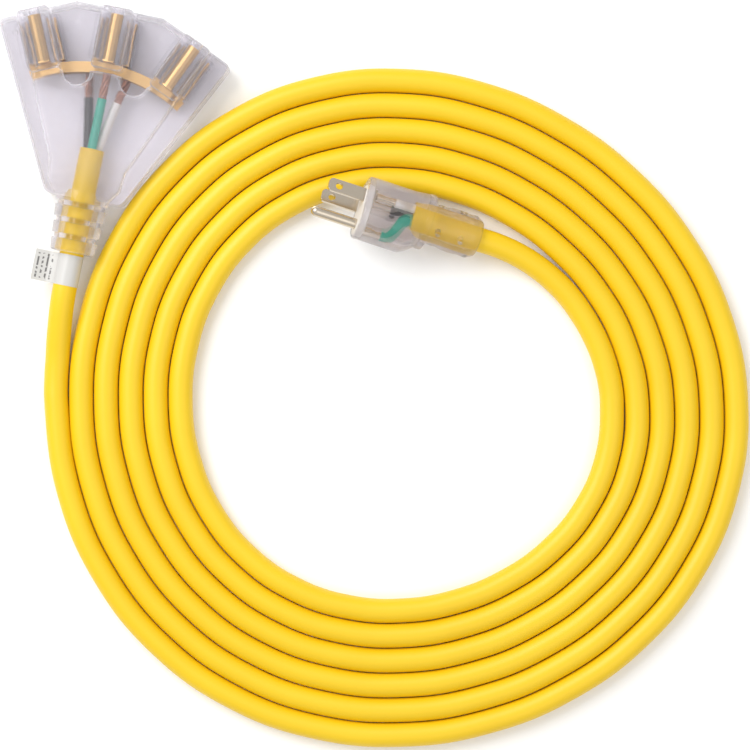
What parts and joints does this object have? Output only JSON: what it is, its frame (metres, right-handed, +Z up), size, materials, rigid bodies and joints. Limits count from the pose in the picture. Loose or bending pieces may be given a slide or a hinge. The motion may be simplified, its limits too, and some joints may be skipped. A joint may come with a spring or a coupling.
{
  "type": "extension cord",
  "caption": "Grounded extension cord: heavy yellow cord laid as a flat spiral between a clear fan-shaped outlet tap and a clear moulded plug.",
  "frame": {"origin": "under the middle of the tap, on the surface that the cord lies on", "axes": "+Y out of the tap's middle outlet, +Z up from the surface, +X to the right seen from above; the coil lies to the right of the tap and behind it"},
  "size_m": [0.3715, 0.3097, 0.035],
  "materials": {
    "clear_pvc": "clear moulded vinyl, glossy",
    "inner_pvc": "clear moulded vinyl, slightly milky",
    "brass": "stamped strip, satin",
    "black_insulation": "extruded vinyl, satin",
    "white_insulation": "extruded vinyl, satin",
    "green_insulation": "extruded vinyl, satin",
    "copper": "bare stranded copper",
    "yellow_jacket": "extruded vinyl jacket, satin",
    "label_film": "printed film, satin",
    "white_nylon": "moulded, satin",
    "plated_brass": "nickel plated, bright"
  },
  "bodies": {
    "root": {"tap_body": "clear_pvc", "outlet_carrier_left": "inner_pvc", "outlet_carrier_centre": "inner_pvc", "outlet_carrier_right": "inner_pvc", "line_contact_left": "brass", "line_contact_centre": "brass", "line_contact_right": "brass", "neutral_contact_left": "brass", "neutral_contact_centre": "brass", "neutral_contact_right": "brass", "ground_contact_left": "brass", "ground_contact_centre": "brass", "ground_contact_right": "brass", "line_bus_bar": "brass", "neutral_bus_bar": "brass", "ground_bus_bar": "brass", "tap_line_wire": "black_insulation", "tap_neutral_wire": "white_insulation", "tap_ground_wire": "green_insulation", "tap_line_strands": "copper", "tap_neutral_strands": "copper", "tap_ground_strands": "copper", "tap_cord_end": "yellow_jacket", "cord_lead_tap": "yellow_jacket", "flag_label": "label_film", "cord_coil": "yellow_jacket", "cord_lead_plug": "yellow_jacket", "plug_cord_end": "yellow_jacket", "plug_body": "clear_pvc", "plug_bridge": "white_nylon", "line_blade": "plated_brass", "neutral_blade": "plated_brass", "ground_pin": "plated_brass", "line_crimp": "plated_brass", "neutral_crimp": "plated_brass", "ground_crimp": "plated_brass", "plug_line_wire": "black_insulation", "plug_neutral_wire": "white_insulation", "plug_ground_wire": "green_insulation"}
  },
  "joints": []
}
